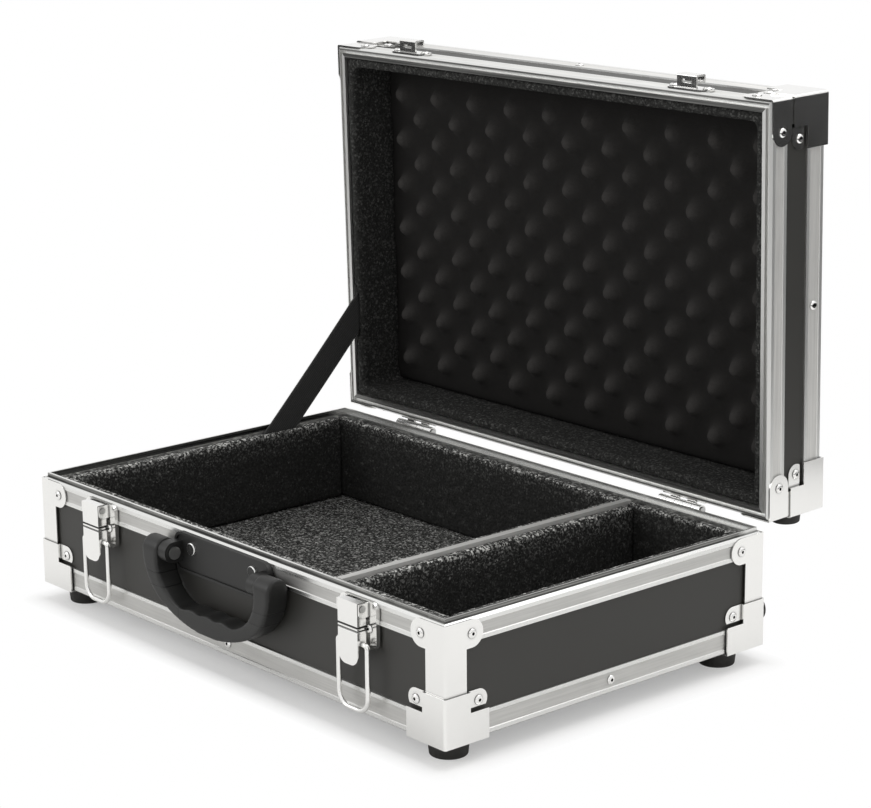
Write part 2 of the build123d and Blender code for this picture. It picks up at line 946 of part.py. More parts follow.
def hinge_leaves(half):
    """Both hinges' leaves of one half, each with its own knuckles."""
    barrel_y = hinge_y
    own = range(0 if half is BASE else 1, hinge_knuckles, 2)
    knuckles = [
        x + (index - (hinge_knuckles - 1) / 2) * knuckle_pitch
        for x in (-hinge_x, hinge_x)
        for index in own
    ]
    leaf_near = level(half, hinge_leaf_start)
    leaf_far = level(half, hinge_leaf_start + hinge_leaf_height)
    web_near = level(half, hinge_web)
    web_far = level(half, hinge_web * 2)
    with BuildPart() as leaves:
        for x in (-hinge_x, hinge_x):
            with BuildSketch(face_plane(BACK)):
                with Locations((-x, (leaf_near + leaf_far) / 2)):
                    Rectangle(hinge_width, hinge_leaf_height)
            extrude(amount=hinge_leaf)
        for x in knuckles:
            with Locations(Plane(origin=(x, barrel_y, hinge_z), z_dir=(1, 0, 0))):
                Cylinder(hinge_barrel_radius, knuckle_length)
            with BuildSketch(face_plane(BACK)):
                with Locations((-x, (web_near + web_far) / 2)):
                    Rectangle(knuckle_length, hinge_web)
            extrude(amount=hinge_axis_behind)
        for x in (-hinge_x, hinge_x):
            with Locations(Plane(origin=(x, barrel_y, hinge_z), z_dir=(1, 0, 0))):
                Cylinder(
                    hinge_pin_radius + pin_clearance,
                    2 * hinge_width,
                    mode=Mode.SUBTRACT,
                )
        drill(hinge_seats(half, BACK))
    return leaves.part


def round_pins(places, radius, length, head_radius, head):
    """Plain pins along X, centred on their places, with a flat head at each end."""
    with BuildPart() as group:
        with Locations(*[Plane(origin=place, z_dir=(1, 0, 0)) for place in places]):
            Cylinder(radius, length)
            for side in SIDES:
                with Locations((0, 0, side * (length + head) / 2)):
                    Cylinder(head_radius, head)
    return group.part


def hinge_pins():
    places = [(x, hinge_y, hinge_z) for x in (-hinge_x, hinge_x)]
    length = hinge_width + sliding_clearance
    return round_pins(places, hinge_pin_radius, length, hinge_pin_head_radius, hinge_pin_head)


# Draw latches: a plate on the base, a lever, its bail, and a keeper on the lid
front_y = -half_depth
lever_pivot_y = front_y - lever_pivot_out
lever_pivot_z = level(BASE, lever_pivot_drop)
bail_pivot_y = front_y - bail_pivot_out
bail_pivot_z = level(BASE, bail_pivot_drop)


def latch_seats():
    height = level(BASE, latch_rivet_drop)
    places = [x + side * latch_rivet_x for x in (-latch_x, latch_x) for side in SIDES]
    return [seat(FRONT, x, height, plate_rise) for x in places]


def keeper_seats():
    height = level(LID, keeper_rivet_from_rim)
    places = [x + side * keeper_rivet_x for x in (-latch_x, latch_x) for side in SIDES]
    return [seat(FRONT, x, height, keeper_sheet) for x in places]


def latch_plate(x):
    """The raised pan with two ears that carry the lever's pin."""
    middle = (x, level(BASE, plate_below_rim + plate_height / 2))
    ear_top = level(BASE, plate_ear_top_drop)
    with BuildPart() as plate:
        with BuildSketch(face_plane(FRONT)):
            with Locations(middle):
                RectangleRounded(plate_width, plate_height, plate_corner_radius)
        extrude(amount=plate_rise)
        with BuildSketch(face_plane(FRONT)):
            with Locations(middle):
                RectangleRounded(
                    plate_width - 2 * plate_sheet,
                    plate_height - 2 * plate_sheet,
                    plate_corner_radius - plate_sheet,
                )
        extrude(amount=plate_rise - plate_sheet, mode=Mode.SUBTRACT)
        for side in SIDES:
            inner = x + side * (lever_half + sliding_clearance)
            with BuildSketch(Plane.YZ.offset(min(inner, inner + side * plate_ear_sheet))) as ear:
                with Locations((front_y - plate_rise + plate_sheet, ear_top)):
                    Rectangle(
                        plate_ear_out - plate_rise + plate_sheet,
                        plate_ear_height,
                        align=(Align.MAX, Align.MAX),
                    )
                fillet(ear.vertices().group_by(Axis.Y)[0], plate_ear_corner)
            extrude(amount=plate_ear_sheet)
        with Locations(Plane(origin=(x, lever_pivot_y, lever_pivot_z), z_dir=(1, 0, 0))):
            Cylinder(lever_pin_radius + pin_clearance, plate_width, mode=Mode.SUBTRACT)
        drill(latch_seats())
    return plate.part


def latch_pins():
    places = [(x, lever_pivot_y, lever_pivot_z) for x in (-latch_x, latch_x)]
    length = lever_width + 2 * plate_ear_sheet + 3 * sliding_clearance
    return round_pins(places, lever_pin_radius, length, lever_pin_head_radius, lever_pin_head)


def latch_lever(x):
    """A folded sheet lever: two side walls on the pin and a long creased front."""
    top_z = lever_pivot_z + lever_top_above_pivot
    out_y = front_y - lever_out
    crease_z = top_z - lever_crease_from_top
    with BuildPart() as lever:
        with BuildSketch(Plane.XZ.offset(-out_y)):
            with Locations((x, top_z)):
                Rectangle(lever_width, lever_length, align=(Align.CENTER, Align.MAX))
        extrude(amount=-lever_sheet)
        fillet(
            lever.edges().filter_by(Axis.Y).group_by(Axis.Z)[0],
            lever_tip_radius,
        )
        with BuildSketch(Plane.XY.offset(top_z)):
            with Locations((x, out_y)):
                Rectangle(lever_width, lever_top_depth, align=(Align.CENTER, Align.MIN))
        extrude(amount=-lever_sheet)
        for side in SIDES:
            wall = x + side * lever_half
            with BuildSketch(Plane.YZ.offset(min(wall, wall - side * lever_sheet))):
                with BuildLine():
                    Polyline(
                        (out_y, top_z),
                        (out_y + lever_top_depth, top_z),
                        (out_y + lever_side_depth, lever_pivot_z + lever_back_rise),
                        (out_y + lever_side_depth, top_z - lever_side_length + lever_side_slope),
                        (out_y, top_z - lever_side_length),
                        close=True,
                    )
                make_face()
            extrude(amount=lever_sheet)
        with BuildSketch(Plane.XZ.offset(-out_y)):
            with Locations((x, crease_z)):
                Rectangle(lever_width, lever_crease_width)
        extrude(amount=-lever_crease_depth, mode=Mode.SUBTRACT)
        with Locations(Plane(origin=(x, lever_pivot_y, lever_pivot_z), z_dir=(1, 0, 0))):
            Cylinder(lever_pin_radius + pin_clearance, 2 * lever_width, mode=Mode.SUBTRACT)
        with Locations(Plane(origin=(x, bail_pivot_y, bail_pivot_z), z_dir=(1, 0, 0))):
            Cylinder(bail_wire_radius + pin_clearance, 2 * lever_width, mode=Mode.SUBTRACT)
    return lever.part


def latch_bail(x):
    """The wire bail, hanging straight down with its ends turned into the lever's walls."""
    leg = bail_width / 2
    end = lever_half - lever_sheet - bail_end_inside
    top_bend = bail_end_bend_radius
    bend = bail_bend_radius
    with BuildPart() as bail:
        with BuildLine(front_view(x, bail_pivot_y, bail_pivot_z)) as path:
            for side in SIDES:
                Line((side * end, 0), (side * (leg - top_bend), 0))
                RadiusArc(
                    (side * (leg - top_bend), 0),
                    (side * leg, -top_bend),
                    side * top_bend,
                )
                Line((side * leg, -top_bend), (side * leg, bend - bail_length))
                RadiusArc(
                    (side * leg, bend - bail_length),
                    (side * (leg - bend), -bail_length),
                    side * bend,
                )
            Line((bend - leg, -bail_length), (leg - bend, -bail_length))
        with BuildSketch(Plane(origin=(x - end, bail_pivot_y, bail_pivot_z), z_dir=(1, 0, 0))):
            Circle(bail_wire_radius)
        sweep(path=path.wires()[0])
    return bail.part


def latch_keeper(x):
    """The folded keeper on the lid: a plate and a hook that the bail's wire lies behind."""
    wire_depth = bail_length - bail_pivot_drop - closed_rim_gap
    inner_bend = bail_bend_radius - bail_wire_radius
    past_bend = keeper_hook_width / 2 - (bail_width / 2 - bail_bend_radius)
    bend_drop = inner_bend - sqrt(inner_bend**2 - past_bend**2)
    hook_far = wire_depth - bail_wire_radius - bend_drop - 2 * sliding_clearance
    points = [
        (0, keeper_wall_from_rim),
        (-keeper_hook_out, keeper_wall_from_rim),
        (-keeper_hook_out, hook_far),
        (keeper_lip_drop - keeper_hook_out, hook_far),
        (keeper_lip_drop - keeper_hook_out, hook_far - keeper_sheet),
        (keeper_sheet - keeper_hook_out, hook_far - keeper_sheet),
        (keeper_sheet - keeper_hook_out, keeper_wall_from_rim + keeper_sheet),
        (0, keeper_wall_from_rim + keeper_sheet),
    ]
    plate_z = level(LID, keeper_plate_start + keeper_plate_height / 2)
    with BuildPart() as keeper:
        with BuildSketch(face_plane(FRONT)):
            with Locations((x, plate_z)):
                SlotOverall(keeper_plate_width, keeper_plate_height)
        extrude(amount=keeper_sheet)
        with BuildSketch(Plane.YZ.offset(x)):
            with BuildLine():
                Polyline(
                    *[(front_y + out, level(LID, depth)) for out, depth in points],
                    close=True,
                )
            make_face()
        extrude(amount=keeper_hook_width / 2, both=True)
        fillet(
            keeper.edges().filter_by(Axis.X).group_by(Axis.Y)[0],
            keeper_sheet - keeper_bend_less,
        )
        slot_y = front_y - (keeper_hook_out + keeper_sheet) / 2
        with BuildSketch(Plane.XY.offset(level(LID, keeper_wall_from_rim))):
            with Locations((x, slot_y)):
                Rectangle(keeper_slot_width, keeper_slot_height)
        extrude(amount=keeper_sheet, mode=Mode.SUBTRACT)
        drill(keeper_seats())
    return keeper.part


# Handle
handle_pivot_y = front_y - handle_pivot_out
handle_pivot_z = level(BASE, handle_pivot_drop)


def handle_screw_seats():
    height = level(BASE, handle_screw_drop)
    places = [side * handle_screw_x for side in SIDES]
    return [seat(FRONT, x, height, handle_plate_thickness) for x in places]


def handle_base_plate():
    """The moulded plate with a raised border and the lugs that carry the grip's pins."""
    middle = level(BASE, handle_plate_below_rim + handle_plate_height / 2)
    plate_length = 2 * handle_plate_end
    inner_width = plate_length - 2 * handle_plate_rim
    inner_height = handle_plate_height - 2 * handle_plate_rim
    with BuildPart() as plate:
        with BuildSketch(face_plane(FRONT)):
            with Locations((0, middle)):
                RectangleRounded(plate_length, handle_plate_height, handle_plate_corner)
        extrude(amount=handle_plate_thickness + handle_plate_rim_height)
        with BuildSketch(face_plane(FRONT, handle_plate_thickness)):
            with Locations((0, middle)):
                RectangleRounded(
                    inner_width,
                    inner_height,
                    handle_plate_corner - handle_plate_rim,
                )
        extrude(amount=handle_plate_rim_height, mode=Mode.SUBTRACT)
        for side in SIDES:
            inner = side * lug_inner_x
            with BuildSketch(Plane.YZ.offset(min(inner, inner + side * lug_width))):
                with Locations((handle_pivot_y, handle_pivot_z)):
                    Circle(lug_radius)
                with Locations((front_y, handle_pivot_z)):
                    Rectangle(
                        handle_pivot_out,
                        2 * lug_radius,
                        align=(Align.MAX, Align.CENTER),
                    )
            extrude(amount=lug_width)
        with Locations(Plane(origin=(0, handle_pivot_y, handle_pivot_z), z_dir=(1, 0, 0))):
            Cylinder(
                handle_pin_radius + pin_clearance,
                2 * arm_outer_x,
                mode=Mode.SUBTRACT,
            )
        drill(handle_screw_seats(), handle_screw_radius, handle_screw_length)
    return plate.part


def handle_pins():
    """Pins from the lugs into the grip's arms, their heads on the lugs' inner faces."""
    with BuildPart() as pins:
        for side in SIDES:
            start = side * (lug_inner_x - sliding_clearance)
            with Locations(
                Plane(origin=(start, handle_pivot_y, handle_pivot_z), z_dir=(side, 0, 0))
            ):
                Cylinder(
                    handle_pin_radius,
                    handle_pin_length,
                    align=(Align.CENTER, Align.CENTER, Align.MIN),
                )
                Cylinder(
                    handle_pin_head_radius,
                    handle_pin_head,
                    align=(Align.CENTER, Align.CENTER, Align.MAX),
                )
    return pins.part


def mirrored(points):
    """Points from left to right across the middle, from those of the right half."""
    return [(-x, z) for x, z in reversed(points)] + points


def grip_outside():
    """The grip's outer curve below its shoulders, seen from the front."""
    return mirrored(
        [
            (grip_bottom_x, -grip_bottom_drop + grip_bottom_rise),
            (grip_turn_x, -grip_turn_drop),
            (arm_outer_x, -grip_shoulder_drop),
        ]
    )


def grip_inside():
    """The edge of the hand opening: two arms and a bar top with finger hollows."""
    waves = 2 * grip_fingers
    bar_top = grip_bottom_drop - grip_middle_height
    bar = []
    for index in range(waves + 1):
        hollow = grip_finger_depth if index % 2 else 0
        bar.append((grip_hollow_x * (2 * index / waves - 1), -bar_top - hollow))
    arm = [(arm_inner_x - grip_inner_lean, -grip_inner_drop), (arm_inner_x, -grip_shoulder_drop)]
    return [(-x, z) for x, z in reversed(arm)] + bar + arm


def handle_grip():
    """The moulded grip: two arms on the pins and a bar with finger hollows."""
    arm_back = handle_pivot_y + arm_top_radius
    arm_front = handle_pivot_y - arm_top_radius
    taper = (2 * arm_top_radius - grip_depth) / 2
    with BuildPart() as grip:
        with BuildSketch(front_view(0, handle_pivot_y, handle_pivot_z)):
            for x, curve, mode in (
                (arm_outer_x, grip_outside(), Mode.ADD),
                (arm_inner_x, grip_inside(), Mode.SUBTRACT),
            ):
                top = arm_top_radius if mode is Mode.ADD else 2 * arm_top_radius
                with BuildLine():
                    Spline(*curve)
                    Polyline(curve[-1], (x, top), (-x, top), curve[0])
                make_face(mode=mode)
        extrude(amount=arm_top_radius, both=True)
        fillet(grip.faces().filter_by(Axis.Y).edges(), grip_edge_radius)
        with BuildSketch(Plane.YZ):
            with Locations((handle_pivot_y, handle_pivot_z)):
                Circle(arm_top_radius)
            with BuildLine():
                Polyline(
                    (arm_front, handle_pivot_z),
                    (arm_back, handle_pivot_z),
                    (arm_back, handle_pivot_z - grip_taper_drop),
                    (arm_back - taper, handle_pivot_z - grip_bottom_drop),
                    (arm_front + taper, handle_pivot_z - grip_bottom_drop),
                    (arm_front, handle_pivot_z - grip_taper_drop),
                    close=True,
                )
            make_face()
        extrude(amount=arm_outer_x, both=True, mode=Mode.INTERSECT)
        for side in SIDES:
            start = side * arm_inner_x
            with Locations(
                Plane(origin=(start, handle_pivot_y, handle_pivot_z), z_dir=(side, 0, 0))
            ):
                Cylinder(
                    handle_pin_radius + pin_clearance,
                    lug_inner_x + handle_pin_length - arm_inner_x,
                    align=(Align.CENTER, Align.CENTER, Align.MIN),
                    mode=Mode.SUBTRACT,
                )
    return grip.part


# Write every piece
os.makedirs("parts", exist_ok=True)

for half in (BASE, LID):
    end_name = "bottom" if half is BASE else "top"
    save(outer_panel(half), f"{half.name}_{end_name}_panel", half)
    for face in FACES:
        save(side_panel(half, face), f"{half.name}_{face.name}_panel", half)
        save(rim_bar(half, face), f"{half.name}_{face.name}_rim", half)
    save(edging_bars(half, (FRONT, BACK)), f"{half.name}_long_edgings", half)
    save(edging_bars(half, (LEFT, RIGHT)), f"{half.name}_short_edgings", half)
    save(corner_covers(half), f"{half.name}_corner_covers", half)
    save(box_corners(half), f"{half.name}_box_corners", half)
    save(hinge_leaves(half), f"hinge_{half.name}_leaves", half)
    save(
        feet(
            back_foot_seats(half),
            back_foot_height,
            back_foot_top_radius,
            back_foot_tip_radius,
        ),
        f"{half.name}_back_feet",
        half,
    )

base_seats = [place for face in FACES for place in case_rivets(BASE, face)]
lid_seats = [place for face in FACES for place in case_rivets(LID, face)]
latch_rivets = rivets(latch_seats(), latch_rivet_head_radius, latch_rivet_grip)
save(joined(rivets(base_seats), latch_rivets, strap_rivets(BASE)), "base_rivets")
save(joined(rivets(lid_seats + keeper_seats()), strap_rivets(LID)), "lid_rivets", LID)

bottom_feet = feet(floor_foot_seats(), foot_height, foot_top_radius, foot_tip_radius)
save(bottom_feet, "bottom_feet")
save(foot_screws(floor_foot_seats() + back_foot_seats(BASE)), "base_foot_screws")
save(foot_screws(back_foot_seats(LID)), "lid_foot_screws", LID)

save(floor_lining(), "base_foam_floor")
for face in FACES:
    save(wall_lining(face), f"base_foam_{face.name}")
save(lid_border(), "lid_foam_border", LID)
save(eggcrate(), "lid_eggcrate_foam", LID)
save(divider(), "divider_board")
save(divider_cap(), "divider_channel")
save(divider_lining(), "divider_foam")
save(hinge_pins(), "hinge_pins")
save(strap(), "lid_strap")

for name, x in (("left", -latch_x), ("right", latch_x)):
    save(latch_plate(x), f"{name}_latch_plate")
    save(latch_lever(x), f"{name}_lever")
    save(latch_bail(x), f"{name}_bail")
    save(latch_keeper(x), f"{name}_keeper", LID)
save(latch_pins(), "latch_pins")

handle_screws = screws(
    handle_screw_seats(),
    handle_screw_radius,
    handle_screw_length,
    handle_screw_head_radius,
    handle_screw_head,
)
save(handle_base_plate(), "handle_plate")
save(handle_screws, "handle_screws")
save(handle_pins(), "handle_pins")
save(handle_grip(), "handle_grip")
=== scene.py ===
"""Finishes for an open carrying case: laminate panels, ribbed aluminium profiles, bright
sheet corners and latches, speckled foam, a woven strap and a moulded handle.

Metres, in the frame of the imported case: +X right, +Y to the hinges, +Z up. The lid
stands open at rest.
"""

import json
from math import cos, pi, radians, sin

import bpy
from bpy.props import FloatProperty, FloatVectorProperty, IntProperty, PointerProperty
from mathutils import Matrix, Vector


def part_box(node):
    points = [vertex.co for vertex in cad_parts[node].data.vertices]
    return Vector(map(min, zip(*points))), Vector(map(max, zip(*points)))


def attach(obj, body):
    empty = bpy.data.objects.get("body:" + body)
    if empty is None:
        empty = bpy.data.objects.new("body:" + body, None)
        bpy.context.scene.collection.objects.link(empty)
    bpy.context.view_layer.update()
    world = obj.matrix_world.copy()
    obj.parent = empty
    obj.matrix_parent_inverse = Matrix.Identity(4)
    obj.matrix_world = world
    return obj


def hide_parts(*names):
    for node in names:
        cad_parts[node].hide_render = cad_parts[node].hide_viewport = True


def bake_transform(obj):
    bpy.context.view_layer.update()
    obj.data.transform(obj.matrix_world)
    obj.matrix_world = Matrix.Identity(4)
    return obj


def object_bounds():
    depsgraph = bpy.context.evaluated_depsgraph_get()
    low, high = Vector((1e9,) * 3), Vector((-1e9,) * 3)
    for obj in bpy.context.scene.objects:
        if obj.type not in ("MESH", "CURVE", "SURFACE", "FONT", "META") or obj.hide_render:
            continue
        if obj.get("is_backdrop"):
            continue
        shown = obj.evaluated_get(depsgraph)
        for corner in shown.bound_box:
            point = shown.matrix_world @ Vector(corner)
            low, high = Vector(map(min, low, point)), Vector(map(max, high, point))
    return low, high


bl_info = {
    "name": "Carrying case",
    "version": (1, 0, 0),
    "blender": (4, 5, 0),
    "location": "View3D > Sidebar > Case",
    "description": "Dresses an open, foam lined carrying case in its finishes",
    "category": "Object",
}

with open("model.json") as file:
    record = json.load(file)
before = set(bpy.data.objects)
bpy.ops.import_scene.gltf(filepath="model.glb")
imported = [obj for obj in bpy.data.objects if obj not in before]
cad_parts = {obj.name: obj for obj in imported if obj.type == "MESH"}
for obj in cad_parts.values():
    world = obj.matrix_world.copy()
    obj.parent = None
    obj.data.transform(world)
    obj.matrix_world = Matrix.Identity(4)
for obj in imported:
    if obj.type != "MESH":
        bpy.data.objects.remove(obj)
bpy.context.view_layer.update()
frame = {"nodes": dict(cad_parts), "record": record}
nodes = frame["nodes"]
record = frame["record"]

# The lid's hinge line and how far it stands open at rest
hinge_y = 0.1649
hinge_z = 0.0875
lid_angle = radians(88.7)

# Brushed bands on the profiles, measured up from the base's underside or from the hinge line
base_rim_band = (0.0732, 0.0821)
base_edging_band = (0.0029, 0.0143)
lid_rim_band = (0.0056, 0.0141)
lid_edging_band = (0.0434, 0.0544)

# Faces where the rims meet, painted dark as shade, measured the same way, and where the back
# rim starts
base_mating_shade = (0.0872, 0.0903)
lid_mating_shade = (-0.0010, 0.0006)
back_rim_start = 0.14

# How finely the grain changes along a profile, against 1 across it
drag = 0.012

# Half the widths of the levers' two creases
lower_crease = 0.00045
upper_crease = 0.0007

# How far from a corner painted shade darkens sheet metal, and the metal of pins and screws
sheet_shade_reach = 0.0022
steel_shade_reach = 0.003

# Seams of the grip: the height at which the bar's seam ends, how far from the middle the
# arms' seams start, the heights of those seams, and how softly a seam or crease ends
grip_bar_top = 0.043
grip_arm_start = 0.052
grip_arm_seams = (0.0445, 0.0545)
seam_softness = 0.0003

# Height in the base below which painted shade thins the flecks on the foam walls, and over
# what distance
foam_shade_fade = (0.074, 0.022)

# Depth in the lid at which the egg-crate turns from painted light on its crests to painted
# shade in its hollows, and over what distance
crate_middle = 0.0385
crate_swing = 0.009

# Camera, as the case was photographed
camera_place = (1.49156, -1.23955, 0.6650)
camera_yaw = radians(49.23)
camera_pitch = radians(14.59)
camera_roll = radians(-0.54)
camera_lens = 106.54
camera_sensor = 36.0
camera_shift = (0.00387, 0.00927)

# Width of the floor, and what its pale table does: half the base's length and width, and how
# far out from these the camera sees the shadow fade to white
floor_width = 14
table_under = (0.25, 0.16)
table_fade = (-0.004, 0.020)

# Where metal stops seeing the pale table: past an edge on this bearing, and all round
table_edge_bearing = (0.757, 0.653)
table_edge = (0.80, 1.00)
table_reach = (1.20, 1.45)

# The studio's light from all sides, and how much of its white shows in metal
studio_light = 0.72
studio_shine = 0.9

# Lamps: name, place, the point that it looks at, watts, width
softboxes = (
    ("overhead_softbox", (0.5, 0.6, 1.7), (0, 0, 0.1), 13.0, 1.3),
    ("front_softbox", (-1.0, -1.6, 1.0), (0, 0, 0.15), 8.0, 0.9),
)


# Sizes and colours that can be changed
def length(name, default, text):
    """A length in metres."""
    return FloatProperty(name=name, description=text, default=default, unit="LENGTH")


def tone(name, default, text):
    """A colour as light and dark as it is written, without gamma."""
    return FloatVectorProperty(
        name=name, description=text, default=default, subtype="COLOR", min=0, max=1
    )


def share(name, default, text):
    """A number from 0 to 1."""
    return FloatProperty(name=name, description=text, default=default, min=0, max=1)


class CaseSizes(bpy.types.PropertyGroup):
    """Sizes of the finer forms and grains."""

    foam_cell: length("Foam cell", 0.0016, "Size of a light or dark fleck in the foam")
    foam_voxel: length("Foam voxel", 0.0026, "Grid that the foam pieces are remade on")
    foam_ripple: length("Foam ripple", 0.0007, "How far the foam's skin rises and falls")
    foam_smoothing: IntProperty(
        name="Foam smoothing", description="Rounds that soften foam edges", default=4
    )
    crate_smoothing: IntProperty(
        name="Egg-crate smoothing", description="Rounds that soften the bumps", default=16
    )
    grip_voxel: length("Grip voxel", 0.0011, "Grid that the moulded grip is remade on")
    grip_smoothing: IntProperty(
        name="Grip smoothing", description="Rounds that soften the grip", default=12
    )
    grip_seam_x: length("Grip seam", -0.0335, "Place of the upright seam on the grip's bar")
    grip_seam_width: length("Seam width", 0.0007, "Width of the grip's seams")
    crease_height: length("Lever crease", 0.0655, "Height of the lever's double crease")
    crease_step: length("Crease step", 0.0026, "Distance between the lever's two creases")
    strap_width: length("Strap width", 0.025, "Width of the woven strap")
    strap_thickness: length("Strap thickness", 0.0014, "Thickness of the woven strap")
    strap_bow: length("Strap bow", 0.0020, "How far the strap bows between its ends")
    strap_end: length("Strap end", 0.012, "Strap that runs on past each rivet")
    strap_rib: length("Strap rib", 0.0016, "Distance between the ribs of the weave")


class CaseColours(bpy.types.PropertyGroup):
    """Colours and gloss of the finishes."""

    laminate: tone("Laminate", (0.0208, 0.0200, 0.0176), "Panels")
    laminate_gloss: share("Laminate roughness", 0.42, "Panels' roughness")
    rib: tone("Ribs", (0.80, 0.80, 0.785), "Ribs of the aluminium profiles")
    band: tone("Bands", (0.56, 0.555, 0.54), "Brushed bands between the ribs")
    # Painted shade: the dark tone of the faces where the rims meet
    mating_shade: tone("Mating faces", (0.16, 0.16, 0.155), "Dull faces where the rims meet")
    # Painted shade: the dark colour laid into corners, round heads and along edges of sheet
    crevice_shade: tone("Crevices", (0.03, 0.03, 0.028), "Shade round heads and edges of sheet")
    sheet: tone("Sheet", (0.90, 0.895, 0.88), "Plated sheet metal")
    steel: tone("Steel", (0.60, 0.60, 0.59), "Pins and screws")
    foam: tone("Foam", (0.015, 0.015, 0.0145), "Foam between its flecks")
    foam_fleck: tone("Foam flecks", (0.62, 0.62, 0.60), "Light flecks in the foam")
    crate: tone("Egg-crate", (0.0215, 0.0205, 0.0198), "Egg-crate foam")
    rubber: tone("Rubber", (0.014, 0.0135, 0.0125), "Feet")
    moulded: tone("Moulding", (0.0105, 0.0105, 0.010), "Handle")
    webbing: tone("Webbing", (0.029, 0.029, 0.0285), "Strap")


def sizes():
    return bpy.context.scene.case_sizes


def colours():
    return bpy.context.scene.case_colours


# Finishes
class Reading:
    """A number that varies over a piece and is reckoned with like a plain number."""

    def __init__(self, finish, socket):
        self.finish = finish
        self.socket = socket

    def worked(self, operation, first, second=0.0, clamp=False):
        node = self.finish.add("ShaderNodeMath", operation=operation, use_clamp=clamp)
        self.finish.feed(node.inputs[0], first)
        self.finish.feed(node.inputs[1], second)
        return Reading(self.finish, node.outputs[0])

    def __add__(self, other):
        return self.worked("ADD", self, other)

    __radd__ = __add__

    def __sub__(self, other):
        return self.worked("SUBTRACT", self, other)

    def __rsub__(self, other):
        return self.worked("SUBTRACT", other, self)

    def __mul__(self, other):
        return self.worked("MULTIPLY", self, other)

    __rmul__ = __mul__

    def __truediv__(self, other):
        return self.worked("DIVIDE", self, other)

    def clipped(self):
        return self.worked("ADD", self, 0.0, clamp=True)

    def sine(self):
        return self.worked("SINE", self)

    def size(self):
        """How large this is, whatever its sign."""
        return self.worked("ABSOLUTE", self)

    def positive(self):
        return self.worked("MAXIMUM", self, 0.0)

    def power(self, exponent):
        return self.worked("POWER", self, exponent)

    def above(self, level, soft):
        """1 where this is over the level and 0 under it, with a soft step."""
        return ((self - level) / soft + 0.5).clipped()

    def inside(self, low, high, soft):
        """1 between two levels and 0 outside them."""
        return self.above(low, soft) * (1 - self.above(high, soft))


class Finish:
    """A material being made: its shader, and readings of the place on the piece."""

    def __init__(self, name, **constants):
        self.material = bpy.data.materials.new(name)
        self.material.use_nodes = True
        self.tree = self.material.node_tree
        self.shader = next(n for n in self.tree.nodes if n.type == "BSDF_PRINCIPLED")
        self.coordinates = self.add("ShaderNodeTexCoord")
        for socket, value in constants.items():
            self.shader.inputs[socket.replace("_", " ").title()].default_value = value

    def add(self, kind, **settings):
        node = self.tree.nodes.new(kind)
        for key, value in settings.items():
            setattr(node, key, value)
        return node

    def feed(self, socket, value):
        if isinstance(value, Reading):
            self.tree.links.new(value.socket, socket)
        elif isinstance(value, bpy.types.NodeSocket):
            self.tree.links.new(value, socket)
        else:
            socket.default_value = value

    def axes(self):
        """Readings of the place along x, y and z."""
        split = self.add("ShaderNodeSeparateXYZ")
        self.feed(split.inputs[0], self.coordinates.outputs["Object"])
        return [Reading(self, output) for output in split.outputs]

    def facing(self):
        """Readings of how far the surface looks along x, y and z."""
        split = self.add("ShaderNodeSeparateXYZ")
        self.feed(split.inputs[0], self.coordinates.outputs["Normal"])
        return [Reading(self, output) for output in split.outputs]

    def painted_crevice_shade(self, reach):
        """Painted shade from ambient occlusion: 1 in the corners where pieces meet, and 0 out
        in the open.
        """
        node = self.add("ShaderNodeAmbientOcclusion", samples=8)
        node.inputs["Distance"].default_value = reach
        return 1 - Reading(self, node.outputs["AO"])

    def across(self):
        """Readings of the piece's own flat map, across and along it."""
        split = self.add("ShaderNodeSeparateXYZ")
        self.feed(split.inputs[0], self.coordinates.outputs["UV"])
        return [Reading(self, output) for output in split.outputs][:2]

    def stretched(self, stretch):
        mapping = self.add("ShaderNodeMapping")
        self.feed(mapping.inputs["Vector"], self.coordinates.outputs["Object"])
        mapping.inputs["Scale"].default_value = stretch
        return mapping.outputs[0]

    def noise(self, size, detail=2.0, stretch=(1, 1, 1)):
        """A cloudy reading, its features about that size in metres."""
        node = self.add("ShaderNodeTexNoise")
        self.feed(node.inputs["Vector"], self.stretched(stretch))
        node.inputs["Scale"].default_value = 1 / size
        node.inputs["Detail"].default_value = detail
        return Reading(self, node.outputs["Fac"])

    def cells(self, size, stretch=(1, 1, 1)):
        """A reading of the distance from the middle of small cells."""
        node = self.add("ShaderNodeTexVoronoi")
        self.feed(node.inputs["Vector"], self.stretched(stretch))
        node.inputs["Scale"].default_value = 1 / size
        return Reading(self, node.outputs["Distance"])

    def scattered(self, size, stretch=(1, 1, 1)):
        """A chance value from 0 to 1 for each of many small cells."""
        node = self.add("ShaderNodeTexVoronoi")
        self.feed(node.inputs["Vector"], self.stretched(stretch))
        node.inputs["Scale"].default_value = 1 / size
        split = self.add("ShaderNodeSeparateColor")
        self.feed(split.inputs[0], node.outputs["Color"])
        return Reading(self, split.outputs[0])

    def mixed(self, amount, first, second):
        """A colour between two, by a reading from 0 to 1."""
        node = self.add("ShaderNodeMix", data_type="RGBA")
        self.feed(node.inputs[0], amount)
        for socket, value in ((node.inputs[6], first), (node.inputs[7], second)):
            if not isinstance(value, bpy.types.NodeSocket):
                value = (*value, 1.0)
            self.feed(socket, value)
        return node.outputs[2]

    def colour(self, value):
        if not isinstance(value, bpy.types.NodeSocket):
            value = (*value, 1.0)
        self.feed(self.shader.inputs["Base Color"], value)

    def roughness(self, value):
        self.feed(self.shader.inputs["Roughness"], value)

    def raised(self, height, distance, strength=1.0):
        """Small bumps of that depth in metres, from a reading from 0 to 1."""
        node = self.add("ShaderNodeBump")
        node.inputs["Strength"].default_value = strength
        node.inputs["Distance"].default_value = distance
        self.feed(node.inputs["Height"], height)
        self.feed(self.shader.inputs["Normal"], node.outputs[0])


def depth_in_lid(y, z):
    """A reading of the distance from the open lid's mating plane, into the lid."""
    return (y - hinge_y) * sin(lid_angle) + (z - hinge_z) * cos(lid_angle)


def scaled(tint, gain):
    """A colour made lighter or darker."""
    return [gain * value for value in tint]


